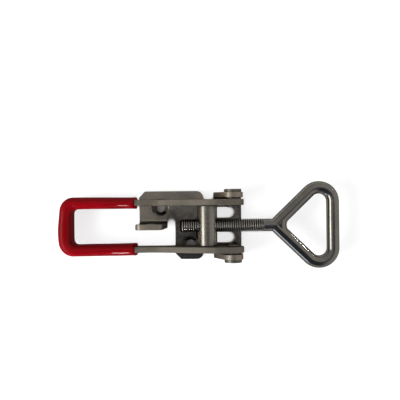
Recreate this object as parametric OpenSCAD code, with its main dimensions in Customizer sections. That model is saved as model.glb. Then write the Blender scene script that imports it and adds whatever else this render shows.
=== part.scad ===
// Adjustable toggle bolt latch with a padlock lug, shown latched.
// Origin: on the mounting face, on the centre line, directly below the handle's pivot.
// +X points towards the loop of the draw bolt, +Z away from the mounting face.

/* [Sheet metal base] */
// Thickness of the base sheet
plate_t = 2.5; // [2:0.1:3]
// Inside radius of the base's bends
bend_r = 1.25; // [1:0.05:1.6]
// Width across the two feet
foot_span = 32; // [28:0.5:38]
// From the pivot axis back to the rear edge of the base
base_rear = 43.3; // [40:0.5:50]
// From the pivot axis back to the rear edge of the short foot
short_foot_rear = 26.5; // [24:0.5:28]
// Radius of the feet's front corners
foot_corner_r = 3.2; // [1:0.1:4]
// Length of the chamfer on the feet's rear corners
foot_chamfer = 2.7; // [1:0.1:4]
// From the pivot axis back to the rear edge of the ears
ear_rear = 8.5; // [7.5:0.1:10]
// Radius of the ears' rounded tops
ear_r = 4.6; // [4.2:0.1:6]
// Gap between the short foot's rear edge and the lug
notch_w = 3.6; // [3:0.1:5]
// How far the ear's rear edge stands from the feet
relief_w = 4.7; // [2:0.1:6]

/* [Padlock lug] */
// Diameter of the padlock hole
lug_hole_d = 5.5; // [4:0.1:6]
// Room for the shackle between the handle bar and the hole's lower edge
shackle_clear = 3.2; // [1:0.1:4]
// Metal left above the padlock hole
lug_rim = 2.1; // [1.5:0.1:4]
// How much shorter the lug is at its top than at its root
lug_taper = 1.2; // [0.5:0.1:3]
// Radius of the lug's upper corners
lug_corner_r = 2.6; // [1:0.1:4]

/* [Screw holes] */
// Diameter of the countersunk screw holes
screw_d = 4.3; // [3:0.1:4.6]
// Diameter of the countersinks at the surface, cut at 90 degrees
countersink_d = 8; // [6:0.1:9]
// From the pivot axis back to the rear screw hole
rear_screw_back = 33.6; // [32:0.1:37]
// From the centre line out to the rear screw hole
rear_screw_side = 8.2; // [7:0.1:10]
// From the pivot axis back to the front screw hole
front_screw_back = 19.6; // [18.5:0.1:21]
// From the centre line out to the front screw hole
front_screw_side = 9.1; // [8:0.1:10]
// Diameter of the round hole between the slots and the screw holes
pilot_d = 4; // [3:0.1:4.5]
// From the pivot axis back to that round hole
pilot_back = 14.9; // [14.7:0.1:15.2]
// From the centre line out to that round hole
pilot_side = 4.6; // [4:0.1:5]
// Width of the two adjusting slots
slot_w = 5; // [4:0.1:5.5]
// Length of the slots from end to end
slot_l = 12; // [8:0.5:12]
// From the centre line out to the middle of each slot
slot_side = 5.85; // [5:0.05:6.5]
// From the pivot axis forward to the slots' front ends
slot_front = 1.7; // [0.5:0.1:2.2]

/* [Pivot rivets] */
// Diameter of the rivets the handle turns on
pivot_d = 5; // [4:0.1:6]
// Diameter and thickness of the heads outside the ears
rivet_head_d = 7.8; // [7:0.1:9]
rivet_head_t = 1.3; // [0.8:0.1:1.8]
// Diameter and height of the heads formed inside the handle's arms
rivet_tip_d = 6; // [5.6:0.1:7]
rivet_tip_t = 0.8; // [0.5:0.1:2]

/* [Handle] */
// Width across the handle's arms
handle_w = 24.2; // [22:0.2:28]
// From the pivot axis back to the handle bar's rear face
handle_l = 78.2; // [72:0.5:100]
// Thickness of the handle bar
bar_t = 2.8; // [2.5:0.1:4]
// Height of the handle bar
bar_h = 7; // [6:0.1:8]
// Radius of the arms' rounded front ends
arm_eye_r = 5; // [4.5:0.1:6]
// From the pivot axis back to where the arms start to narrow
arm_wide_l = 8; // [5:0.5:12]
// Length over which the arms narrow to the bar's height
arm_taper_l = 26; // [18:0.5:30]
// From the pivot axis back to where the arms' lower edge turns up to the eye
arm_heel_l = 14; // [13:0.5:16]
// Radius where the narrowing starts and ends
arm_blend_r = 8; // [3:0.5:12]

/* [Grip] */
// Thickness of the dipped coating
coat_t = 1.4; // [1:0.1:2]
// From the pivot axis back to the front ends of the coating
grip_front = 43.6; // [42:0.2:50]
// Inside radius of the coating's two corners
coat_bend_r = 0.4; // [0.2:0.1:2]
// Edge radius of the coating
coat_edge_r = 2; // [1:0.1:2.6]
// Thickness and length of the thicker rim at the coating's ends
rim_t = 0.3; // [0.1:0.05:0.5]
rim_l = 1.6; // [1:0.1:3]

/* [Trunnion] */
// From the pivot axis back to the trunnion's axis
trunnion_back = 11.5; // [11:0.1:13]
// How far the trunnion's axis lies below the pivot axis
trunnion_drop = 3; // [2:0.1:3.5]
// Diameter of the trunnion between the arms
barrel_d = 9; // [8:0.1:10]
// Diameter of the trunnion's ends in the arms
barrel_end_d = 6; // [5:0.1:6.5]

/* [Draw bolt] */
// Thread diameter of the draw bolt
thread_d = 6; // [5:0.1:6.2]
// Diameter of the plain neck between the thread and the loop
neck_d = 5.8; // [4.8:0.1:6]
// Diameter of the rod that the loop is bent from
rod_d = 5.7; // [4.7:0.1:5.9]
// How much thinner the rod is in its bends
bend_thin = 0.06; // [0.04:0.02:0.3]
// How far the bolt's end stands out behind the trunnion's axis
tail_l = 12.5; // [8:0.5:13]
// From the trunnion's axis forward to the end of the thread
thread_front = 25.4; // [20:0.2:27]
// From the trunnion's axis forward to where the loop's legs meet
apex_l = 30.8; // [28:0.2:36]
// From the trunnion's axis forward to the middle of the loop's bar
loop_l = 57.2; // [54:0.2:66]
// Angle of each leg of the loop to the bolt
leg_angle = 44; // [38:1:46]
// Bend radius of the loop's corners, at the middle of the rod
loop_bend_r = 6.4; // [5:0.1:7]
// Radius of the weld where the legs meet, and how far it lies ahead of that point
weld_r = 2.2; // [1.5:0.1:2.4]
weld_ahead = 3; // [2.5:0.1:3.2]
// Length of the chamfer on the bolt's end
tail_chamfer = 0.8; // [0.3:0.1:1.2]

/* [Clearances] */
// Gap on each side between the handle's arms and the ears
ear_play = 0.65; // [0.4:0.05:1]
// Room between the base and the trunnion
barrel_clear = 2; // [1:0.1:4]
// Room between the base and the handle bar
bar_clear = 0.7; // [0.4:0.1:2]
// Play of the turning fits, on the diameter
turn_play = 0.1; // [0.05:0.01:0.2]
// Gap at each end of the trunnion, and under the rivets' inner heads
end_play = 0.2; // [0.1:0.05:0.4]

/* [Hidden] */
$fn = 64;
corner_steps = 6;
cut = 1;
left_and_right = [-1, 1];

// heights above the mounting face, built up from the base
pivot_z = plate_t + barrel_clear + barrel_d / 2 + trunnion_drop;
trunnion_z = pivot_z - trunnion_drop;
bar_z = plate_t + bar_clear;
lug_hole_z = bar_z + bar_h + shackle_clear + lug_hole_d / 2;
lug_z = lug_hole_z + lug_hole_d / 2 + lug_rim;

// half widths, built up from the handle
arm_out = handle_w / 2;
arm_in = arm_out - bar_t;
ear_in = arm_out + ear_play;
ear_out = ear_in + plate_t;

// the base's blank
bend_out = bend_r + plate_t;
ear_bend_y = ear_out - bend_out;
lug_bend_y = plate_t / 2 + bend_r;
foot_side = foot_span / 2;
foot_front = ear_rear + relief_w;
lug_front = short_foot_rear + notch_w;

// the handle's bar
bar_mid_y = arm_out - bar_t / 2;
bar_mid_z = bar_z + bar_h / 2;
bar_turn_r = coat_bend_r + coat_t + bar_t / 2;
bar_corner_x = -(handle_l - bar_t / 2 - bar_turn_r);
bar_corner_y = bar_mid_y - bar_turn_r;

// the draw bolt's loop
leg_corner = [loop_l, (loop_l - apex_l) * tan(leg_angle)];
loop_turn = 90 + leg_angle;
corner_cut = loop_bend_r * tan(loop_turn / 2);
leg_l = norm(leg_corner - [apex_l, 0]) - corner_cut;
loop_centre = [loop_l - loop_bend_r, leg_corner[1] - corner_cut];
// angle by which each end of a bend reaches into the straight rod
bend_lap = 2.5;

steel = [0.60, 0.59, 0.55];
bright_steel = [0.74, 0.74, 0.73];
grip_red = [0.72, 0.04, 0.07];

// ---- outlines ----

function unit(v) = v / norm(v);
function flat(p) = [p[0], p[1]];

// Points that round one corner [x, y, radius] of an outline
function round_corner(before, corner, after) =
    let (back = unit(flat(before) - flat(corner)),
         ahead = unit(flat(after) - flat(corner)),
         half = acos(back * ahead) / 2,
         centre = flat(corner) + unit(back + ahead) * corner[2] / sin(half),
         first = flat(corner) + back * corner[2] / tan(half) - centre,
         start = atan2(first[1], first[0]),
         turn = cross(-back, ahead) > 0 ? 180 - 2 * half : 2 * half - 180)
    [for (i = [0 : corner_steps])
        let (angle = start + turn * i / corner_steps)
        centre + corner[2] * [cos(angle), sin(angle)]];

// Outline through corners [x, y, radius]; radius 0 stays sharp
function rounded(corners) =
    let (last = len(corners) - 1)
    [for (i = [0 : last])
        let (corner = corners[i],
             before = corners[i == 0 ? last : i - 1],
             after = corners[i == last ? 0 : i + 1])
        each corner[2] > 0 ? round_corner(before, corner, after) : [flat(corner)]];

// Where a line from a point touches a circle; side picks one of the two
function touch_point(point, centre, r, side) =
    let (away = point - centre,
         angle = atan2(away[1], away[0]) + side * acos(r / norm(away)))
    centre + r * [cos(angle), sin(angle)];

// ---- shared solids ----

// A disc or shaft across the latch, from one y to another
module across(d, from, to) {
    translate([0, to, 0])
        rotate([90, 0, 0])
            cylinder(d = d, h = to - from);
}

// An outline drawn in x and z, as a sheet from one y to another
module upright_sheet(from, to) {
    translate([0, to, 0])
        rotate([90, 0, 0])
            linear_extrude(to - from)
                children();
}

// A quarter bend of the base sheet that runs along X and turns up towards +Y
module sheet_bend(from_x, to_x) {
    rotate([90, 0, 90])
        translate([0, bend_out, from_x])
            rotate(-90)
                rotate_extrude(angle = 90)
                    translate([bend_r, 0])
                        square([plate_t, to_x - from_x]);
}

// ---- base ----

function blank_outline() = rounded([
    [ear_r, -ear_bend_y, 0],
    [ear_r, ear_bend_y, 0],
    [-foot_front, ear_bend_y, 0],
    [-foot_front, foot_side, foot_corner_r],
    [-(base_rear - foot_chamfer), foot_side, 0],
    [-base_rear, foot_side - foot_chamfer, 0],
    [-base_rear, lug_bend_y, 0],
    [-lug_front, lug_bend_y, 0],
    [-lug_front, lug_bend_y + notch_w / 4, notch_w / 4],
    [-short_foot_rear, lug_bend_y + notch_w / 4, notch_w / 2],
    [-short_foot_rear, -(foot_side - foot_chamfer), 0],
    [-(short_foot_rear - foot_chamfer), -foot_side, 0],
    [-foot_front, -foot_side, foot_corner_r],
    [-foot_front, -ear_bend_y, 0]]);

module ear_outline() {
    shoulder = [-ear_rear, bend_out + bend_r];
    polygon([[ear_r, bend_out], [ear_r, pivot_z],
             touch_point(shoulder, [0, pivot_z], ear_r, -1),
             shoulder, [-ear_rear, bend_out]]);
    translate([0, pivot_z])
        circle(ear_r);
}

module lug_outline() {
    polygon(rounded([
        [-base_rear, bend_out, 0],
        [-lug_front, bend_out, 0],
        [-(lug_front + lug_taper), lug_z, lug_corner_r],
        [-base_rear, lug_z, lug_corner_r]]));
}

module screw_hole(x, y) {
    translate([x, y, -cut])
        cylinder(d = screw_d, h = plate_t + 2 * cut);
    translate([x, y, plate_t - countersink_d / 2])
        cylinder(r1 = 0, r2 = countersink_d / 2 + cut, h = countersink_d / 2 + cut);
}

module slot() {
    for (x = [slot_front - slot_w / 2, slot_front - slot_l + slot_w / 2])
        translate([x, 0, -cut])
            cylinder(d = slot_w, h = plate_t + 2 * cut);
    translate([slot_front - slot_l + slot_w / 2, -slot_w / 2, -cut])
        cube([slot_l - slot_w, slot_w, plate_t + 2 * cut]);
}

module base_plate() {
    color(steel)
        difference() {
            union() {
                linear_extrude(plate_t)
                    polygon(blank_outline());
                for (side = [0, 1])
                    mirror([0, side, 0]) {
                        translate([0, ear_bend_y, 0])
                            sheet_bend(-ear_rear, ear_r);
                        upright_sheet(ear_in, ear_out)
                            ear_outline();
                    }
                translate([0, lug_bend_y, 0])
                    mirror([0, 1, 0])
                        sheet_bend(-base_rear, -lug_front);
                upright_sheet(-plate_t / 2, plate_t / 2)
                    lug_outline();
            }
            translate([0, 0, pivot_z])
                across(pivot_d, -(ear_out + cut), ear_out + cut);
            translate([-(base_rear + lug_front) / 2, 0, lug_hole_z])
                across(lug_hole_d, -plate_t, plate_t);
            screw_hole(-rear_screw_back, rear_screw_side);
            screw_hole(-front_screw_back, -front_screw_side);
            translate([-pilot_back, -pilot_side, -cut])
                cylinder(d = pilot_d, h = plate_t + 2 * cut);
            for (side = left_and_right)
                translate([0, side * slot_side, 0])
                    slot();
        }
}

// ---- pivot rivets ----

// One rivet, on the +Y side: flat head outside, shank through ear and arm, domed head inside
module pivot_rivet() {
    tip_y = arm_in - end_play;
    color(bright_steel)
        translate([0, 0, pivot_z]) {
            across(rivet_head_d, ear_out, ear_out + rivet_head_t);
            across(pivot_d, tip_y, ear_out);
            translate([0, tip_y, 0])
                rotate([90, 0, 0])
                    rotate_extrude()
                        dome_profile();
        }
}

// Half of the formed head's section: a disc with a rounded rim
module dome_profile() {
    intersection() {
        square([rivet_tip_d / 2, rivet_tip_t]);
        polygon(rounded([
            [0, -cut, 0],
            [rivet_tip_d / 2, -cut, 0],
            [rivet_tip_d / 2, rivet_tip_t, rivet_tip_t],
            [0, rivet_tip_t, 0]]));
    }
}

module pivot_rivet_left() {
    pivot_rivet();
}

module pivot_rivet_right() {
    mirror([0, 1, 0])
        pivot_rivet();
}

// ---- handle ----

// A section swept along the handle's U; the section's x runs outwards, its y runs up
module along_handle(front_x) {
    for (side = left_and_right) {
        translate([bar_corner_x, side * bar_mid_y, bar_mid_z])
            rotate([90, 0, 90])
                linear_extrude(front_x - bar_corner_x)
                    children();
        translate([bar_corner_x, side * bar_corner_y, bar_mid_z])
            rotate(side > 0 ? 90 : 180)
                rotate_extrude(angle = 90)
                    translate([bar_turn_r, 0])
                        children();
    }
    translate([bar_corner_x - bar_turn_r, bar_corner_y, bar_mid_z])
        rotate([90, 0, 0])
            linear_extrude(2 * bar_corner_y)
                children();
}

module bar_section() {
    square([bar_t, bar_h], center = true);
}

// The arms' wide front part, seen from the side
module arm_outline() {
    eye = [0, pivot_z];
    heel = [-arm_heel_l, bar_z];
    taper_end = -(arm_wide_l + arm_taper_l);
    polygon(concat(
        [heel, touch_point(heel, eye, arm_eye_r, 1), eye],
        rounded([
            [0, pivot_z + arm_eye_r, 0],
            [-arm_wide_l, pivot_z + arm_eye_r, arm_blend_r],
            [taper_end, bar_z + bar_h, arm_blend_r],
            [taper_end - arm_blend_r, bar_z + bar_h, 0]]),
        [[taper_end - arm_blend_r, bar_z]]));
    translate(eye)
        circle(arm_eye_r);
}

module handle_bar() {
    color(steel)
        difference() {
            union() {
                along_handle(-(arm_wide_l + arm_taper_l))
                    bar_section();
                for (side = [0, 1])
                    mirror([0, side, 0])
                        upright_sheet(arm_in, arm_out)
                            arm_outline();
            }
            translate([0, 0, pivot_z])
                across(pivot_d + turn_play, -(arm_out + cut), arm_out + cut);
            translate([-trunnion_back, 0, trunnion_z])
                across(barrel_end_d + turn_play, -(arm_out + cut), arm_out + cut);
        }
}

// ---- grip ----

module coat_section(extra) {
    half = [bar_t, bar_h] / 2 + [1, 1] * (coat_t + extra);
    polygon(rounded([
        [half[0], -half[1], coat_edge_r],
        [half[0], half[1], coat_edge_r],
        [-half[0], half[1], coat_edge_r],
        [-half[0], -half[1], coat_edge_r]]));
}

module grip_sleeve() {
    color(grip_red)
        difference() {
            union() {
                along_handle(-grip_front)
                    coat_section(0);
                for (side = left_and_right)
                    translate([-(grip_front + rim_l), side * bar_mid_y, bar_mid_z])
                        rotate([90, 0, 90])
                            linear_extrude(rim_l)
                                coat_section(rim_t);
            }
            along_handle(-grip_front + cut)
                bar_section();
        }
}

// ---- trunnion ----

module trunnion_barrel() {
    color(bright_steel)
        translate([-trunnion_back, 0, trunnion_z])
            difference() {
                union() {
                    across(barrel_d, -(arm_in - end_play), arm_in - end_play);
                    across(barrel_end_d, -arm_out, arm_out);
                }
                translate([-barrel_d, 0, 0])
                    rotate([0, 90, 0])
                        cylinder(d = thread_d + turn_play, h = 2 * barrel_d);
            }
}

// ---- draw bolt ----

// One leg of the loop with its bend, on the +Y side
module loop_leg() {
    translate([apex_l, 0, 0])
        rotate([0, 90, leg_angle])
            cylinder(d = rod_d, h = leg_l);
    translate(concat(loop_centre, 0))
        rotate(-bend_lap)
            rotate_extrude(angle = loop_turn + 2 * bend_lap)
                translate([loop_bend_r, 0])
                    circle(d = rod_d - bend_thin);
}

module draw_bolt() {
    color(bright_steel)
        translate([-trunnion_back, 0, trunnion_z]) {
            translate([-tail_l, 0, 0])
                rotate([0, 90, 0])
                    cylinder(d1 = thread_d - 2 * tail_chamfer, d2 = thread_d, h = tail_chamfer);
            translate([tail_chamfer - tail_l, 0, 0])
                rotate([0, 90, 0])
                    cylinder(d = thread_d, h = thread_front + tail_l - tail_chamfer);
            translate([thread_front, 0, 0])
                rotate([0, 90, 0])
                    cylinder(d = neck_d, h = apex_l - thread_front);
            translate([apex_l, 0, 0])
                sphere(d = neck_d);
            translate([apex_l + weld_ahead, 0, 0])
                sphere(weld_r);
            for (side = [0, 1])
                mirror([0, side, 0])
                    loop_leg();
            translate([loop_l, 0, 0])
                across(rod_d, -loop_centre[1], loop_centre[1]);
        }
}

base_plate();
pivot_rivet_left();
pivot_rivet_right();
handle_bar();
grip_sleeve();
trunnion_barrel();
draw_bolt();
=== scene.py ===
# %% [markdown]
# # A toggle bolt latch
# The latch is a folded steel base, a flat-bar handle with a dipped vinyl grip, a turned
# trunnion and a threaded draw bolt with a triangular loop. Its measured solids come from the
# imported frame. Each cell below dresses one of them, and every length is in metres.

# %% Load the measured frame
import math

import bmesh
import bpy
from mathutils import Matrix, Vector


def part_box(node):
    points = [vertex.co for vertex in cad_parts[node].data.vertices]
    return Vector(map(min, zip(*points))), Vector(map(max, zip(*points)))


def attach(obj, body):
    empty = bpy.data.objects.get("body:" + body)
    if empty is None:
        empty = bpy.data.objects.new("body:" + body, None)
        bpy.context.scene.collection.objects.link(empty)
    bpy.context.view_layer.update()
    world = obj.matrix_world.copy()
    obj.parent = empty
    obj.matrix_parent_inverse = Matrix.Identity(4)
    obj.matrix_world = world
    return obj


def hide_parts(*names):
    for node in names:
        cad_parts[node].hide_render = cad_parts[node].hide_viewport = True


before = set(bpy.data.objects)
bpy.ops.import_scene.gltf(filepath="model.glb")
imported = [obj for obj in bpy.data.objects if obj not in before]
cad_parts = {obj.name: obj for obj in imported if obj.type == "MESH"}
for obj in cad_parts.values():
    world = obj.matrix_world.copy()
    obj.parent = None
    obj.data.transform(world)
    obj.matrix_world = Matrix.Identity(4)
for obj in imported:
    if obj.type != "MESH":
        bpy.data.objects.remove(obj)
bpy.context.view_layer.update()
MM = 0.001

# %% [markdown]
# ## The camera
# The latch lies on its base and is seen from straight above, from a hand's length away, so
# that the inner walls of the handle show a little. The camera is a plain perspective one. It
# is turned by half a degree in its own plane, as a hand-held view is.

# %% Place the camera
CAMERA_AT = Vector((-14.74, 11.73, 243.7)) * MM
CAMERA_TURN = math.radians(0.60)
LENS_MM, SENSOR_MM = 46.179, 36.0


def add_object(name, data):
    """Puts a mesh, a lamp or a camera into the scene, at the origin."""
    made = bpy.data.objects.new(name, data)
    bpy.context.scene.collection.objects.link(made)
    return made


camera_data = bpy.data.cameras.new("latch_camera")
camera = add_object("latch_camera", camera_data)
camera.location = CAMERA_AT
camera.rotation_euler = (0.0, 0.0, -CAMERA_TURN)
camera_data.sensor_width = SENSOR_MM
camera_data.lens = LENS_MM
camera_data.clip_start = 0.01
camera_data.clip_end = 20.0
bpy.context.scene.camera = camera
bpy.context.scene.view_settings.view_transform = "Standard"
print("lens in mm:", round(camera_data.lens, 2))

# %% [markdown]
# ## Small tools for node trees
# Materials and shapes below are both made of nodes. One helper adds a node, sets its options
# and fills its inputs, whether with numbers or with another node's output. The others string
# arithmetic together, so that a formula reads from left to right.

# %% A helper that adds nodes, and arithmetic made of them
def add_node(tree, kind, inputs=None, **options):
    """Adds a node, sets its options, and fills inputs by name or number with values or sockets."""
    made = tree.nodes.new(kind)
    for option, value in options.items():
        setattr(made, option, value)
    for key, value in (inputs or {}).items():
        if isinstance(value, bpy.types.NodeSocket):
            tree.links.new(value, made.inputs[key])
        else:
            made.inputs[key].default_value = value
    return made


def calc(tree, operation, first, second=0.0, third=0.0):
    """One step of arithmetic on numbers or sockets."""
    inputs = {0: first, 1: second}
    if operation == "MULTIPLY_ADD":
        inputs[2] = third
    return add_node(tree, "ShaderNodeMath", inputs, operation=operation).outputs[0]


def vector_calc(tree, operation, inputs, result=0):
    """One step of arithmetic on vectors. A length or a distance is the result named Value."""
    return add_node(tree, "ShaderNodeVectorMath", inputs, operation=operation).outputs[result]


def remap(tree, value, from_low, from_high, to_low, to_high, blend="LINEAR"):
    """Carries a value from one range to another, held inside it."""
    inputs = {0: value, 1: from_low, 2: from_high, 3: to_low, 4: to_high}
    return add_node(tree, "ShaderNodeMapRange", inputs, interpolation_type=blend).outputs[0]


print("node arithmetic ready")

# %% [markdown]
# ## Small tools for finishes
# Every finish here starts the same way: an empty material and the piece's own coordinates,
# which stay with it when it moves. Noise at several scales then stands for what a flat colour
# lacks, from slow drifts of tone down to dust. The same noise can tilt the surface, and bumps
# lie on top of each other from coarse to fine.

# %% Patterns, bumps and an empty finish
def blend_colours(tree, amount, first, second):
    """A colour between two others. The Mix node keeps its colour sockets at places 6 and 7."""
    inputs = {0: amount, 6: (*first, 1.0), 7: (*second, 1.0)}
    return add_node(tree, "ShaderNodeMix", inputs, data_type="RGBA").outputs[2]


def noise(tree, at, scale, detail=2.0, roughness=0.5):
    """A cloudy pattern between 0 and 1, with about as many patches per metre as scale says."""
    inputs = {"Vector": at, "Scale": scale, "Detail": detail, "Roughness": roughness}
    return add_node(tree, "ShaderNodeTexNoise", inputs).outputs[0]


def bump(tree, height, depth, under=None):
    """Tilts the surface by a height pattern, on top of the bump under it where there is one."""
    inputs = {"Strength": 1.0, "Distance": depth, "Height": height}
    if under is not None:
        inputs["Normal"] = under
    return add_node(tree, "ShaderNodeBump", inputs).outputs[0]


def new_finish(name):
    """An empty material, with its tree, its output and the coordinates of the piece it is on."""
    material = bpy.data.materials.new(name)
    material.use_nodes = True
    tree = material.node_tree
    tree.nodes.clear()
    output = add_node(tree, "ShaderNodeOutputMaterial")
    place = add_node(tree, "ShaderNodeTexCoord").outputs["Object"]
    return material, tree, output, place


print("finish helpers ready")

# %% [markdown]
# ## Plated steel
# Every metal part of the latch is zinc-plated steel. The plating isn't one colour: it drifts
# between a warm and a cool grey over a few millimetres, and is duller where it was handled.
# What differs from part to part is how the metal was worked, so one recipe takes the
# direction of the working marks: none on stamped sheet, lengthwise along the flat bar, round
# the axis on turned parts. Polished steel stays dark towards its edges, so the recipe's edge
# tint is dark too. On a thread the recipe paints shade into the roots: the distance from the
# bolt's axis sets how dark the metal is, nearly black in the roots and a little lighter than
# plain on the crests.

# %% A recipe for plated steel
EDGE_TINT = (0.12, 0.115, 0.11, 1.0)
CLOUDS_PER_M, DENTS_PER_M, SPECKS_PER_M = 95.0, 170.0, 1900.0


def plated_steel(name, warm, cool, dull, marks, mark_depth, dent_depth, seed, groove=None):
    """A zinc-plated finish. marks is how closely its fine lines sit along X, Y and Z, per metre.

    groove is (height of the axis, root radius, crest radius) of a thread, whose roots get painted shade.
    """
    material, tree, output, place = new_finish(name)
    offset = (seed * 0.13, seed * 0.07, seed * 0.11)
    shifted = add_node(tree, "ShaderNodeMapping", {"Vector": place, "Location": offset}).outputs[0]
    stretched = add_node(tree, "ShaderNodeMapping", {"Vector": shifted, "Scale": marks}).outputs[0]
    clouds = noise(tree, shifted, CLOUDS_PER_M, 4.0, 0.6)
    specks = noise(tree, shifted, SPECKS_PER_M, 3.0, 0.65)
    lines = noise(tree, stretched, 1.0, 4.0, 0.7)

    drift = remap(tree, clouds, 0.36, 0.64, 0.0, 1.0, "SMOOTHSTEP")
    tint = blend_colours(tree, drift, warm, cool)
    speckled = remap(tree, specks, 0.3, 0.7, 0.88, 1.06)
    grey = calc(tree, "MULTIPLY", speckled, remap(tree, lines, 0.3, 0.7, 0.9, 1.06))
    # Painted shade: on a thread the colour darkens towards the roots by distance from the axis, and is lifted
    # a little on the crests.
    if groove:
        axis_z, root_r, crest_r = groove
        from_axis = vector_calc(tree, "ADD", {0: place, 1: (0.0, 0.0, -axis_z)})
        across = vector_calc(tree, "MULTIPLY", {0: from_axis, 1: (0.0, 1.0, 1.0)})
        radius = vector_calc(tree, "LENGTH", {0: across}, "Value")
        grey = calc(tree, "MULTIPLY", grey, remap(tree, radius, root_r, crest_r, 0.03, 1.2, "SMOOTHSTEP"))
    colour = vector_calc(tree, "SCALE", {0: tint, "Scale": grey})
    wear = remap(tree, clouds, 0.35, 0.65, dull - 0.05, dull + 0.06)
    worn = calc(tree, "ADD", wear, remap(tree, lines, 0.3, 0.7, -0.04, 0.05))

    dented = bump(tree, noise(tree, shifted, DENTS_PER_M), dent_depth)
    lined = bump(tree, lines, mark_depth, dented)
    pitted = bump(tree, specks, mark_depth * 0.5, lined)
    skin = add_node(
        tree, "ShaderNodeBsdfPrincipled",
        {"Base Color": colour, "Metallic": 1.0, "Roughness": worn, "Normal": pitted,
         "Specular Tint": EDGE_TINT})
    tree.links.new(skin.outputs[0], output.inputs[0])
    return material


print("clouds, dents and specks per metre:", (CLOUDS_PER_M, DENTS_PER_M, SPECKS_PER_M))

# %% The metals of the latch, from that one recipe
BOLT_Z = 9.0 * MM
WARM_ZINC = (0.238, 0.203, 0.158)
COOL_ZINC = (0.21, 0.192, 0.167)
cut_steel = plated_steel(
    "plated_cut_edge", WARM_ZINC, COOL_ZINC, 0.45,
    (700, 700, 700), 0.03 * MM, 0.05 * MM, 7)
sheet_steel = plated_steel(
    "plated_stamped_sheet", WARM_ZINC, COOL_ZINC, 0.12,
    (500, 500, 500), 0.006 * MM, 0.06 * MM, 1)
bar_steel = plated_steel(
    "plated_flat_bar", (0.17, 0.151, 0.12), (0.157, 0.142, 0.115), 0.6,
    (60, 900, 900), 0.03 * MM, 0.04 * MM, 2)
rivet_steel = plated_steel(
    "plated_rivet_steel", (0.124, 0.112, 0.092), (0.115, 0.108, 0.094), 0.4,
    (900, 900, 900), 0.014 * MM, 0.04 * MM, 3)
turned_steel = plated_steel(
    "plated_turned_steel", (0.195, 0.178, 0.15), (0.18, 0.168, 0.146), 0.28,
    (60, 1500, 60), 0.002 * MM, 0.01 * MM, 4)
thread_steel = plated_steel(
    "plated_rolled_thread", (0.235, 0.22, 0.194), (0.212, 0.206, 0.19), 0.18,
    (300, 300, 300), 0.002 * MM, 0.01 * MM, 5, groove=(BOLT_Z, 2.68 * MM, 3.02 * MM))
rod_steel = plated_steel(
    "plated_drawn_rod", (0.172, 0.158, 0.134), (0.155, 0.148, 0.132), 0.12,
    (150, 150, 150), 0.003 * MM, 0.02 * MM, 6)
print("metals:", [m.name for m in bpy.data.materials if m.name.startswith("plated")])

# %% [markdown]
# ## Dipped vinyl
# The grip is made by dipping the hot handle in liquid vinyl. It sets with slow ripples where
# it ran, and with a thin gloss over a soft body, so it is a dull red under a weak clear coat.
# The coat is thin but bends light strongly, so that it mirrors the lamps and hardly the room.
# The colour goes all the way through and shows no grain, so only its depth, its dust and the
# ripples vary.

# %% The red vinyl
def dipped_vinyl(name, deep, bright):
    """A glossy dipped plastic, with ripples a few millimetres apart."""
    material, tree, output, place = new_finish(name)
    clouds = noise(tree, place, 60.0, 3.0)
    tint = blend_colours(tree, remap(tree, clouds, 0.35, 0.65, 0.0, 1.0), deep, bright)
    rippled = bump(tree, noise(tree, place, 150.0), 0.016 * MM)
    dust = noise(tree, place, 1400.0, 4.0)
    skin = add_node(
        tree, "ShaderNodeBsdfPrincipled",
        {"Base Color": tint, "Roughness": remap(tree, dust, 0.4, 0.75, 0.5, 0.7),
         "Specular IOR Level": 0.0, "Coat Weight": 0.04, "Coat Roughness": 0.06, "Coat IOR": 2.2,
         "Normal": rippled, "Coat Normal": rippled})
    tree.links.new(skin.outputs[0], output.inputs[0])
    return material


grip_vinyl = dipped_vinyl("dipped_red_vinyl", (0.125, 0.0006, 0.002), (0.16, 0.0008, 0.003))
print("vinyl:", grip_vinyl.name)

# %% [markdown]
# ## Pressed, cut and turned metal
# Stamping leaves every edge of a sheet slightly rolled over, and that thin rounding is what
# catches the light. The measured solids have dead sharp edges. So a copy of each solid is
# cleaned of its loose triangles, and a Bevel rounds only its sharp edges; its shallow facets
# are bends and holes, and are shaded smooth instead. The press leaves a cut edge rougher than
# the faces of the sheet, so those faces get a duller finish of the same steel.

# %% Dress a measured solid with rounded edges
FOLDED_UP_ABOVE = 6 * MM
SHARP = math.radians(32.0)


def is_cut_edge(face):
    """Where the press cut the sheet: ends that face along X, and the tops of the ears and the lug."""
    on_a_fold = face.calc_center_median().z > FOLDED_UP_ABOVE
    return abs(face.normal.x) > 0.55 or (on_a_fold and abs(face.normal.y) < 0.5)


def rounded_copy(node, name, material, body, edge_radius, steps=2, cut_material=None):
    """A copy of a measured solid with its sharp edges rounded, standing for it on its body."""
    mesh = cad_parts[node].data.copy()
    mesh.name = name
    mesh.materials.clear()
    mesh.materials.append(material)
    if cut_material:
        mesh.materials.append(cut_material)
    shape = bmesh.new()
    shape.from_mesh(mesh)
    bmesh.ops.remove_doubles(shape, verts=shape.verts, dist=2e-6)
    bmesh.ops.dissolve_limit(shape, angle_limit=math.radians(0.4), verts=shape.verts, edges=shape.edges)
    shape.normal_update()
    for face in shape.faces:
        face.smooth = True
        face.material_index = 1 if cut_material and is_cut_edge(face) else 0
    shape.to_mesh(mesh)
    shape.free()
    if "custom_normal" in mesh.attributes:
        mesh.attributes.remove(mesh.attributes["custom_normal"])
    piece = add_object(name, mesh)
    bevel = piece.modifiers.new("rolled_edges", "BEVEL")
    bevel.width = edge_radius
    bevel.segments = steps
    bevel.limit_method = "ANGLE"
    bevel.angle_limit = SHARP
    bevel.use_clamp_overlap = False
    bevel.harden_normals = True
    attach(piece, body)
    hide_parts(node)
    print(f"{name}: {len(mesh.polygons)} faces before its edges are rounded")
    return piece


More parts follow.
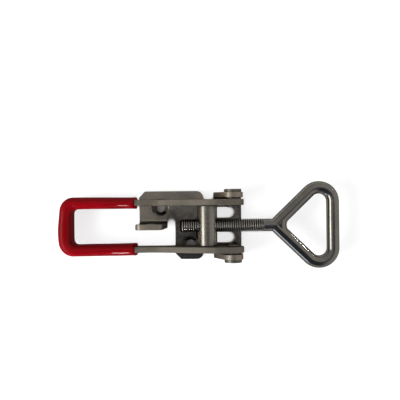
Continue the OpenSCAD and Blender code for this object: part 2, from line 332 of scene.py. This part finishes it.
rounded_copy(
    "base_plate", "folded_base", sheet_steel, "base", 0.25 * MM, cut_material=cut_steel)
rounded_copy("handle_bar", "handle_flat_bar", bar_steel, "handle", 0.35 * MM)
rounded_copy(
    "trunnion_barrel", "turned_trunnion", turned_steel, "trunnion", 0.2 * MM)
for side in ("left", "right"):
    rounded_copy(f"pivot_rivet_{side}", f"rivet_{side}", rivet_steel, "base", 0.2 * MM)

# %% [markdown]
# ## The dipped grip
# The coat follows the U of the handle, but not evenly: it pools in the inner corners, bulges
# a little at the closed end, and ends in a soft lip that reaches further along the bar's
# sides than over its top. So the grip is built from two plan outlines, one for its outside
# and one for its inside, with rings between them. A second, inner skin follows the bar
# itself, so that the coat is a real shell.

# %% A plan outline with rounded corners
def corner_line(points, radii, per_corner, per_run):
    """Samples a polyline with rounded corners, with the same number of points on any such line."""
    line = []
    for i in range(len(points) - 1):
        start, end = Vector(points[i]), Vector(points[i + 1])
        along = (end - start).normalized()
        if i > 0:
            start = start + along * radii[i]
        if i < len(points) - 2:
            end = end - along * radii[i + 1]
        run = per_run[i]
        line += [start.lerp(end, k / run) for k in range(run + (i == len(points) - 2))]
        if i < len(points) - 2:
            turned = (Vector(points[i + 2]) - Vector(points[i + 1])).normalized()
            centre = end + turned * radii[i + 1]
            for k in range(per_corner):
                angle = math.pi / 2 * k / per_corner
                line.append(
                    centre - turned * radii[i + 1] * math.cos(angle) + along * radii[i + 1] * math.sin(angle))
    return line


grip_low, grip_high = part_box("grip_sleeve")
GRIP_FRONT = grip_high.x
BAR_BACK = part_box("handle_bar")[0].x
BAR_MID_Z = (grip_low.z + grip_high.z) / 2
print("the grip ends at x =", round(GRIP_FRONT / MM, 1), "mm, the bar at", round(BAR_BACK / MM, 1), "mm")

# %% Plan outlines of the grip and of the bar in it
BAR_THICK, BAR_HEIGHT, BAR_OUT = 2.8 * MM, 7.0 * MM, 12.1 * MM
OUTER_BACK, INNER_BACK = -79.2 * MM, -73.1 * MM
RUNS, CORNER_STEPS = (70, 36, 70), 16
SAG_OUT, SAG_AT, SAG_WIDE, SAG_BEHIND = 1.0 * MM, -2.5 * MM, 8.0 * MM, -72 * MM


def sagged(spot):
    """Bulges the closed end outwards, where the vinyl pooled while it set."""
    if spot.x < SAG_BEHIND:
        return spot - Vector((SAG_OUT * math.exp(-((spot.y - SAG_AT) / SAG_WIDE) ** 2), 0.0))
    return spot


grip_outside = [sagged(spot) for spot in corner_line(
    [(GRIP_FRONT, 13.25 * MM), (OUTER_BACK, 13.6 * MM), (OUTER_BACK, -13.85 * MM), (GRIP_FRONT, -13.45 * MM)],
    [0, 6.0 * MM, 6.4 * MM, 0], CORNER_STEPS, RUNS)]
grip_inside = corner_line(
    [(GRIP_FRONT, 8.0 * MM), (INNER_BACK, 8.0 * MM), (INNER_BACK, -8.15 * MM), (GRIP_FRONT, -7.8 * MM)],
    [0, 2.2 * MM, 2.4 * MM, 0], CORNER_STEPS, RUNS)
bar_outside = corner_line(
    [(GRIP_FRONT, BAR_OUT), (BAR_BACK, BAR_OUT), (BAR_BACK, -BAR_OUT), (GRIP_FRONT, -BAR_OUT)],
    [0, 4.6 * MM, 4.6 * MM, 0], CORNER_STEPS, RUNS)
bar_inside = corner_line(
    [(GRIP_FRONT, BAR_OUT - BAR_THICK), (BAR_BACK + BAR_THICK, BAR_OUT - BAR_THICK),
     (BAR_BACK + BAR_THICK, BAR_THICK - BAR_OUT), (GRIP_FRONT, BAR_THICK - BAR_OUT)],
    [0, 1.8 * MM, 1.8 * MM, 0], CORNER_STEPS, RUNS)
print("stations along the grip:", len(grip_outside))

# %% One soft ring round the bar
LIP_HOLLOW, HOLLOW_LENGTH = 1.15 * MM, 6.5 * MM


def ripple(place, seed):
    """A slow, small wave for the run of the vinyl, between -1 and 1."""
    quick = math.sin(place * 310 + seed) + math.sin(place * 430 + 2.1 * seed)
    return (quick + 2 * math.sin(place * 173 - seed)) / 4


def soft_ring(outer, inner, middle_z, half_height, squareness, count):
    """A closed ring through an outer and an inner plan point, between a circle and a square."""
    middle, half = (outer + inner) / 2, (outer - inner) / 2
    ring = []
    for k in range(count):
        angle = 2 * math.pi * k / count
        across, up = math.cos(angle), math.sin(angle)
        across = math.copysign(abs(across) ** (2 / squareness), across)
        up = math.copysign(abs(up) ** (2 / squareness), up)
        ring.append(Vector((*(middle + half * across), middle_z + half_height * up)))
    return ring


def draw_back(ring):
    """Moves a ring's top and bottom away from the end of the grip: the lip is hollow there."""
    for point in ring:
        high = min(abs(point.z - BAR_MID_Z) / (BAR_HEIGHT / 2), 1.0)
        near_lip = max(0.0, 1 - (GRIP_FRONT - point.x) / HOLLOW_LENGTH)
        point.x -= LIP_HOLLOW * near_lip * high ** 3
    return ring


print("the lip is hollow by", round(LIP_HOLLOW / MM, 2), "mm")

# %% Rings along the outlines
RING_COUNT = 48
LIP, LIP_TUCK = 0.9 * MM, 0.85 * MM
SWELL, SWELL_AT, SWELL_WIDE = 0.1 * MM, 1.0 * MM, 1.1 * MM
COAT_OVER_BAR = 1.36 * MM
OUTER_SQUARENESS, INNER_SQUARENESS = 2.35, 12.0
outer_rings = []
travelled = 0.0
for k, (outer, inner) in enumerate(zip(grip_outside, grip_inside)):
    travelled += (outer - grip_outside[k - 1]).length if k else 0.0
    away = (outer - inner).normalized()
    outer = outer + away * ripple(travelled, 1.0) * 0.05 * MM
    inner = inner - away * ripple(travelled, 4.0) * 0.04 * MM
    to_lip = GRIP_FRONT - (outer.x + inner.x) / 2
    swell = SWELL * math.exp(-((to_lip - SWELL_AT) / SWELL_WIDE) ** 2)
    outer, inner = outer + away * swell, inner - away * swell
    if to_lip < LIP:
        turn = math.asin(1 - max(to_lip, 0.0) / LIP)
        tuck = (1 - math.cos(turn)) * LIP_TUCK
        outer, inner = outer - away * tuck, inner + away * tuck
        swell -= tuck
    half_height = BAR_HEIGHT / 2 + COAT_OVER_BAR + swell + ripple(travelled, 2.5) * 0.03 * MM
    outer_rings.append(draw_back(
        soft_ring(outer, inner, BAR_MID_Z, half_height, OUTER_SQUARENESS, RING_COUNT)))
inner_rings = [
    draw_back(soft_ring(outer, inner, BAR_MID_Z, BAR_HEIGHT / 2, INNER_SQUARENESS, RING_COUNT))
    for outer, inner in zip(bar_outside, bar_inside)
]
print("outer and inner rings:", len(outer_rings), len(inner_rings))

# %% Sew the grip into one shell
def finished_mesh(name, shape):
    """Turns a mesh in the making into a kept one."""
    mesh = bpy.data.meshes.new(name)
    shape.to_mesh(mesh)
    shape.free()
    return mesh


def sew(name, chain_of_rings):
    """One closed mesh from rings in order, its last ring sewn to its first."""
    shape = bmesh.new()
    rows = [[shape.verts.new(point) for point in ring] for ring in chain_of_rings]
    for row, following in zip(rows, rows[1:] + rows[:1]):
        for k in range(len(row)):
            after = (k + 1) % len(row)
            shape.faces.new((row[k], row[after], following[after], following[k]))
    bmesh.ops.recalc_face_normals(shape, faces=shape.faces)
    for face in shape.faces:
        face.smooth = True
    for edge in shape.edges:
        edge.smooth = edge.calc_face_angle(0.0) < math.radians(50)
    return add_object(name, finished_mesh(name, shape))


grip = sew("dipped_grip", outer_rings + inner_rings[::-1])
grip.data.materials.append(grip_vinyl)
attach(grip, "handle")
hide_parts("grip_sleeve")
print("grip faces:", len(grip.data.polygons))

# %% [markdown]
# ## The rolled thread
# The thread is one groove that repeats every turn, so a rule makes it. A flat grid is rolled
# into a tube: one side of it runs along the bolt, the other round it. Each point's distance
# from the axis then comes from where it falls in the thread's saw-tooth. The rule also gives
# the chamfered tail, the run-out, the plain neck, and a closed end.

# %% Sizes of the draw bolt
bolt_low, bolt_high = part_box("draw_bolt")
TAIL_X = bolt_low.x
THREAD_D, PITCH = 6.06 * MM, 1.0 * MM
THREAD_END_X = 14.5 * MM
NECK_D = 5.76 * MM
APEX_X = 19.3 * MM
ROD_D = 5.7 * MM
LOOP_BAR_X = bolt_high.x - 2.68 * MM
LEG_ANGLE = math.radians(44.0)
BEND_R = 6.4 * MM
print("draw bolt from", round(TAIL_X / MM, 2), "to", round(bolt_high.x / MM, 2), "mm")

# %% A tree with named sizes, and how it ends
def shape_tree(name, sizes):
    """A new geometry tree with named size inputs; returns it with its input node."""
    tree = bpy.data.node_groups.new(name, "GeometryNodeTree")
    tree.interface.new_socket("Geometry", in_out="OUTPUT", socket_type="NodeSocketGeometry")
    for size in sizes:
        tree.interface.new_socket(size, in_out="INPUT", socket_type="NodeSocketFloat")
    tree.interface.new_socket("Finish", in_out="INPUT", socket_type="NodeSocketMaterial")
    return tree, tree.nodes.new("NodeGroupInput")


def close_tree(tree, shape, source):
    """Ends a tree in real geometry with its finish."""
    real = add_node(tree, "GeometryNodeRealizeInstances", {0: shape}).outputs[0]
    smooth = add_node(tree, "GeometryNodeSetShadeSmooth", {0: real}).outputs[0]
    finish = {0: smooth, "Material": source.outputs["Finish"]}
    done = add_node(tree, "GeometryNodeSetMaterial", finish).outputs[0]
    tree.links.new(done, tree.nodes.new("NodeGroupOutput").inputs[0])


print("shape trees take named sizes and a finish")

# %% The thread's rule
TOOTH_ROOT, TOOTH_CREST = 0.15, 0.74
GROOVE_PER_PITCH = 0.48
RUN_OUT_TURNS = 1.4


def thread_tree(rows_along, columns_round):
    """Rolls a flat grid into the threaded shank, with the saw-tooth of the thread as its radius."""
    sizes = ("Major diameter", "Pitch", "Thread length", "Neck diameter", "Full length", "Chamfer")
    tree, source = shape_tree("rolled_thread", sizes)
    major, pitch, thread_l, neck_d, full_l, chamfer = (source.outputs[size] for size in sizes)
    grid = add_node(
        tree, "GeometryNodeMeshGrid",
        {"Size X": 1.0, "Size Y": 1.0, "Vertices X": rows_along, "Vertices Y": columns_round},
    ).outputs[0]
    position = tree.nodes.new("GeometryNodeInputPosition").outputs[0]
    spot = add_node(tree, "ShaderNodeSeparateXYZ", {0: position})
    around = calc(tree, "ADD", spot.outputs[1], 0.5)
    margin = calc(tree, "MULTIPLY", major, 0.5)
    span = calc(tree, "ADD", full_l, calc(tree, "MULTIPLY", margin, 2.0))
    share = calc(tree, "ADD", spot.outputs[0], 0.5)
    run = calc(tree, "SUBTRACT", calc(tree, "MULTIPLY", share, span), margin)
    along = calc(tree, "MINIMUM", calc(tree, "MAXIMUM", run, 0.0), full_l)

    phase = calc(tree, "FRACT", calc(tree, "SUBTRACT", calc(tree, "DIVIDE", along, pitch), around))
    tooth = calc(tree, "ABSOLUTE", calc(tree, "SUBTRACT", calc(tree, "MULTIPLY", phase, 2.0), 1.0))
    height = remap(tree, tooth, TOOTH_ROOT, TOOTH_CREST, 0.0, 1.0, "SMOOTHSTEP")
    depth = calc(tree, "MULTIPLY", pitch, GROOVE_PER_PITCH)
    groove = calc(tree, "MULTIPLY", depth, calc(tree, "SUBTRACT", 1.0, height))
    radius = calc(tree, "SUBTRACT", margin, groove)
    turns_left = calc(tree, "DIVIDE", calc(tree, "SUBTRACT", thread_l, along), pitch)
    run_out = remap(tree, turns_left, 0.0, RUN_OUT_TURNS, 1.0, 0.0, "SMOOTHSTEP")
    neck_r = calc(tree, "MULTIPLY", neck_d, 0.5)
    to_neck = calc(tree, "SUBTRACT", neck_r, radius)
    radius = calc(tree, "ADD", radius, calc(tree, "MULTIPLY", run_out, to_neck))
    tail_r = calc(tree, "SUBTRACT", margin, chamfer)
    radius = calc(tree, "MINIMUM", radius, calc(tree, "ADD", tail_r, along))
    radius = calc(tree, "MINIMUM", radius, calc(tree, "ADD", run, tail_r))
    closed_end = calc(tree, "SUBTRACT", calc(tree, "ADD", full_l, neck_r), run)
    radius = calc(tree, "MAXIMUM", calc(tree, "MINIMUM", radius, closed_end), 0.0)

    turn = calc(tree, "MULTIPLY", around, 2 * math.pi)
    rolled = add_node(tree, "ShaderNodeCombineXYZ", {
        0: along,
        1: calc(tree, "MULTIPLY", radius, calc(tree, "COSINE", turn)),
        2: calc(tree, "MULTIPLY", radius, calc(tree, "SINE", turn)),
    }).outputs[0]
    tube = add_node(tree, "GeometryNodeSetPosition", {0: grid, "Position": rolled}).outputs[0]
    sealed = add_node(tree, "GeometryNodeMergeByDistance", {0: tube, "Distance": 1e-6}).outputs[0]
    close_tree(tree, sealed, source)
    return tree


print("groove depth in mm:", round(GROOVE_PER_PITCH * PITCH / MM, 2))

# %% Run a rule and keep its mesh
def grow(tree, name, values, place):
    """Runs a geometry tree with its sizes and returns a plain mesh piece, moved to its place."""
    seed = add_object(name + "_seed", bpy.data.meshes.new(name + "_seed"))
    modifier = seed.modifiers.new("rule", "NODES")
    modifier.node_group = tree
    for item in tree.interface.items_tree:
        if item.item_type == "SOCKET" and item.in_out == "INPUT" and item.name in values:
            modifier[item.identifier] = values[item.name]
    seed.update_tag()
    graph = bpy.context.evaluated_depsgraph_get()
    mesh = bpy.data.meshes.new_from_object(seed.evaluated_get(graph))
    bpy.data.objects.remove(seed)
    mesh.name = name
    for corner in mesh.vertices:
        corner.co += Vector(place)
    shape = bmesh.new()
    shape.from_mesh(mesh)
    bmesh.ops.remove_doubles(shape, verts=shape.verts, dist=1e-6)
    bmesh.ops.recalc_face_normals(shape, faces=shape.faces)
    for edge in shape.edges:
        edge.smooth = edge.calc_face_angle(0.0) < math.radians(60)
    shape.to_mesh(mesh)
    shape.free()
    print(f"{name}: {len(mesh.polygons)} faces")
    return add_object(name, mesh)


shank = grow(
    thread_tree(560, 41), "bolt_shank",
    {"Major diameter": THREAD_D, "Pitch": PITCH, "Thread length": THREAD_END_X - TAIL_X,
     "Neck diameter": NECK_D, "Full length": APEX_X + 1.0 * MM - TAIL_X, "Chamfer": 0.7 * MM,
     "Finish": thread_steel},
    (TAIL_X, 0.0, BOLT_Z))
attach(shank, "draw_bolt")
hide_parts("draw_bolt")

# %% [markdown]
# ## The loop
# One straight rod is bent twice and its ends are welded to the neck. The rule for it is a
# path of four points, with both bends rounded to the same radius, and a round profile drawn
# along it.

# %% A rod drawn along a bent path
def loop_tree(profile_points, bend_points):
    """Bends a round rod into the triangular loop, from the neck and back to it."""
    sizes = ("Leg ahead", "Leg across", "Bend radius", "Rod diameter")
    tree, source = shape_tree("bent_loop", sizes)
    ahead, across, bend_r, rod_d = (source.outputs[size] for size in sizes)
    under = calc(tree, "MULTIPLY", across, -1.0)
    start = add_node(tree, "ShaderNodeCombineXYZ", {0: 0.0}).outputs[0]
    left = add_node(tree, "ShaderNodeCombineXYZ", {0: ahead, 1: across}).outputs[0]
    right = add_node(tree, "ShaderNodeCombineXYZ", {0: ahead, 1: under}).outputs[0]
    finish = add_node(tree, "ShaderNodeCombineXYZ", {0: 0.0}).outputs[0]
    path = add_node(tree, "GeometryNodeCurvePrimitiveQuadrilateral", mode="POINTS")
    corners = [socket for socket in path.inputs if socket.name.startswith("Point")]
    for socket, point in zip(corners, (start, left, right, finish)):
        tree.links.new(point, socket)
    opened = add_node(tree, "GeometryNodeSetSplineCyclic", {0: path.outputs[0], "Cyclic": False}).outputs[0]
    bent = add_node(
        tree, "GeometryNodeFilletCurve",
        {"Curve": opened, "Count": bend_points, "Radius": bend_r, "Limit Radius": False}, mode="POLY",
    ).outputs[0]
    profile = add_node(
        tree, "GeometryNodeCurvePrimitiveCircle",
        {"Resolution": profile_points, "Radius": calc(tree, "MULTIPLY", rod_d, 0.5)}, mode="RADIUS",
    ).outputs[0]
    rod = add_node(
        tree, "GeometryNodeCurveToMesh", {"Curve": bent, "Profile Curve": profile, "Fill Caps": True}
    ).outputs[0]
    close_tree(tree, rod, source)
    return tree


LOOP_AHEAD = LOOP_BAR_X - APEX_X
LOOP_ACROSS = LOOP_AHEAD * math.tan(LEG_ANGLE)
loop = grow(
    loop_tree(36, 22), "bolt_loop",
    {"Leg ahead": LOOP_AHEAD, "Leg across": LOOP_ACROSS, "Bend radius": BEND_R, "Rod diameter": ROD_D,
     "Finish": rod_steel},
    (APEX_X, 0.0, BOLT_Z))
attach(loop, "draw_bolt")
print("loop reaches y =", round(max(v.co.y for v in loop.data.vertices) / MM, 2), "mm")

# %% [markdown]
# ## The weld
# Where the legs meet the neck, weld fills the crotch between them and is ground smooth and
# plated over. Seen from above its edge is an arc that touches both legs, so it is drawn as a
# short stretch of a thick ring, slightly thinner than the rod and a little uneven. Its side
# towards the neck is drawn out, so that the crotch is full, but never past the legs.

# %% The filled crotch
WELD_UNEVEN = 0.012


def weld_web(name, ring_r, web_r, fill, half_turn, along=28, around=24):
    """A stretch of a ring that lies between the two legs, drawn out towards the neck by fill."""
    centre_x = APEX_X + ring_r / math.sin(LEG_ANGLE)
    shape = bmesh.new()
    rings = []
    for i in range(along + 1):
        turn = half_turn * (2 * i / along - 1)
        thick = web_r * (1 + WELD_UNEVEN * math.sin(5.0 * turn + 0.7))
        to_legs = (ring_r + web_r) * (1 / math.cos(half_turn - abs(turn)) - 1)
        drawn = min(fill, 0.9 * to_legs)
        ring = []
        for k in range(around):
            angle = 2 * math.pi * k / around
            reach = ring_r + thick * math.cos(angle) + (drawn if math.cos(angle) > 0.01 else 0.0)
            ring.append(shape.verts.new((
                centre_x - reach * math.cos(turn), reach * math.sin(turn), BOLT_Z + thick * math.sin(angle))))
        rings.append(ring)
    for ring, following in zip(rings, rings[1:]):
        for k in range(around):
            after = (k + 1) % around
            shape.faces.new((ring[k], ring[after], following[after], following[k]))
    shape.faces.new(rings[0])
    shape.faces.new(rings[-1])
    bmesh.ops.recalc_face_normals(shape, faces=shape.faces)
    for face in shape.faces:
        face.smooth = True
    piece = add_object(name, finished_mesh(name, shape))
    piece.data.materials.append(rod_steel)
    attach(piece, "draw_bolt")
    return piece


web = weld_web("weld_web", 6.2 * MM, 2.72 * MM, 2.4 * MM, math.pi / 2 - LEG_ANGLE)
print("the crotch is filled to x =", round(max(v.co.x for v in web.data.vertices) / MM, 1), "mm")

# %% [markdown]
# ## The floor
# The latch lies on a plain white table, which shows as white and still takes the shadow. The
# white is partly a glow that only the camera and mirror reflections see, so it adds no light
# to the vinyl. The glow fades where something stands close over the table, which keeps the
# shade of contact. Under the base's three round holes the glow is off and the table's own
# colour is darker: painted shade, for the shade those holes lie in.

# %% The white table
HOLES = [(-33.6 * MM, 8.2 * MM, 0.0), (-19.6 * MM, -9.1 * MM, 0.0), (-14.9 * MM, -4.6 * MM, 0.0)]
SHADE_INSIDE, SHADE_OUTSIDE = 2.2 * MM, 3.6 * MM


def white_table(name, size):
    """A flat white floor that glows for the camera and for mirror reflections only."""
    shape = bmesh.new()
    bmesh.ops.create_grid(shape, x_segments=1, y_segments=1, size=size)
    piece = add_object(name, finished_mesh(name, shape))
    material, tree, output, place = new_finish("table_white")
    weave = noise(tree, place, 900.0)
    # Painted shade: within a few millimetres of the three hole centres the table's colour and its glow are
    # darkened.
    deep = 1.0
    for hole in HOLES:
        away = vector_calc(tree, "DISTANCE", {0: place, 1: hole}, "Value")
        outside_hole_shade = remap(tree, away, SHADE_INSIDE, SHADE_OUTSIDE, 0.0, 1.0, "SMOOTHSTEP")
        deep = calc(tree, "MULTIPLY", deep, outside_hole_shade)
    level = remap(tree, deep, 0.0, 1.0, 0.26, 0.45)
    tone = add_node(tree, "ShaderNodeCombineColor", {0: level, 1: level, 2: level})
    paper = add_node(
        tree, "ShaderNodeBsdfDiffuse",
        {"Color": tone.outputs[0], "Roughness": remap(tree, weave, 0.3, 0.7, 0.4, 0.6)})
    open_air = add_node(tree, "ShaderNodeAmbientOcclusion", {"Distance": 0.0035}, samples=16).outputs["AO"]
    glow = calc(tree, "MULTIPLY", deep, remap(tree, open_air, 0.36, 0.56, 0.0, 0.71, "SMOOTHSTEP"))
    shine = add_node(tree, "ShaderNodeEmission", {"Color": (1.0, 1.0, 1.0, 1.0), "Strength": glow})
    both = add_node(tree, "ShaderNodeAddShader", {0: paper.outputs[0], 1: shine.outputs[0]})
    rays = add_node(tree, "ShaderNodeLightPath")
    seen = calc(tree, "MAXIMUM", rays.outputs["Is Camera Ray"],
                calc(tree, "MAXIMUM", rays.outputs["Is Glossy Ray"], rays.outputs["Is Transmission Ray"]))
    mixed = add_node(tree, "ShaderNodeMixShader", {0: seen, 1: paper.outputs[0], 2: both.outputs[0]})
    tree.links.new(mixed.outputs[0], output.inputs[0])
    piece.data.materials.append(material)
    return piece


table = white_table("table", 4.0)
print("table:", table.name)

# %% [markdown]
# ## The light
# Polished metal shows its surroundings more than its own colour, so these matter most. A
# window on the left draws the bright streaks along the turned and bent parts, and a low,
# cooler one draws the line along the loop's near leg. A slim strip draws the short highlights
# on the grip, and its light is kept to a cone that doesn't reach the loop. A small lamp low on
# the right, with a narrow cone of its own, draws the short highlight inside the loop's near
# leg. A fill beside the window lights the vinyl and isn't seen in the metal. The room is pale
# all round, and a tall dark card on the near side keeps the flat sheet dark.

# %% The lamps
MIDDLE = (-0.015, 0.0, 0.01)
INSIDE_NEAR_LEG = (0.0318, -0.0094, 0.0113)
COOL_DAYLIGHT = (0.62, 0.86, 1.25)


def soft_lamp(name, at, towards, wide, tall, watts, colour=(1.0, 1.0, 1.0), spread=180.0):
    """An area lamp. A spread below 180 degrees keeps its light to a cone about the way it faces."""
    data = bpy.data.lights.new(name, "AREA")
    data.shape = "RECTANGLE"
    data.size, data.size_y = wide, tall
    data.energy = watts
    data.color = colour
    data.spread = math.radians(spread)
    lamp = add_object(name, data)
    lamp.location = at
    lamp.rotation_euler = (Vector(towards) - Vector(at)).to_track_quat("-Z", "Y").to_euler()
    return lamp


soft_lamp("left_window", (-0.485, -0.16, 0.39), MIDDLE, 0.42, 0.28, 2.5)
soft_lamp("lower_strip", (-0.13, -0.527, 0.252), (-0.13, -0.01, 0.007), 0.032, 0.3, 0.23, spread=30.0)
soft_lamp("right_lamp", (0.389, 0.242, 0.03), INSIDE_NEAR_LEG, 0.012, 0.03, 0.00018, spread=3.5)
left_fill = soft_lamp("left_fill", (-0.56, -0.16, 0.33), MIDDLE, 0.42, 0.28, 3.1)
left_fill.visible_glossy = False
soft_lamp("low_window", (-0.31, -0.5, 0.09), (0.03, -0.01, 0.01), 0.2, 0.11, 0.34, COOL_DAYLIGHT)

# %% The room
def studio_room(name, level, to_right, shade_level):
    """A pale room, a little lighter to the right, with the shade of a tall dark card on the near side."""
    world = bpy.data.worlds.new(name)
    bpy.context.scene.world = world
    world.use_nodes = True
    room = world.node_tree
    room.nodes.clear()
    looking = add_node(room, "ShaderNodeTexCoord").outputs["Generated"]
    right, far, up = add_node(room, "ShaderNodeSeparateXYZ", {0: looking}).outputs
    wall = calc(room, "MULTIPLY_ADD", right, level * to_right, level)
    near = remap(room, far, -0.027, 0.01, 1.0, 0.0, "SMOOTHSTEP")
    leaning = calc(room, "MULTIPLY_ADD", far, -0.6, right)
    left_edge = remap(room, leaning, -0.113, -0.043, 0.0, 1.0, "SMOOTHSTEP")
    right_edge = remap(room, right, 0.2, 0.6, 1.0, 0.0, "SMOOTHSTEP")
    above = remap(room, up, 0.15, 0.35, 0.0, 1.0, "SMOOTHSTEP")
    card = calc(room, "MULTIPLY", calc(room, "MULTIPLY", near, left_edge),
                calc(room, "MULTIPLY", right_edge, above))
    shaded = calc(room, "MULTIPLY", wall, calc(room, "MULTIPLY_ADD", card, shade_level - 1.0, 1.0))
    tone = blend_colours(room, card, (1.0, 1.0, 1.0), (0.9, 1.0, 1.25))
    sky = add_node(room, "ShaderNodeBackground", {"Color": tone, "Strength": shaded})
    room.links.new(sky.outputs[0], add_node(room, "ShaderNodeOutputWorld").inputs[0])
    return world


print("room:", studio_room("studio_room", 0.72, 0.3, 0.16).name)
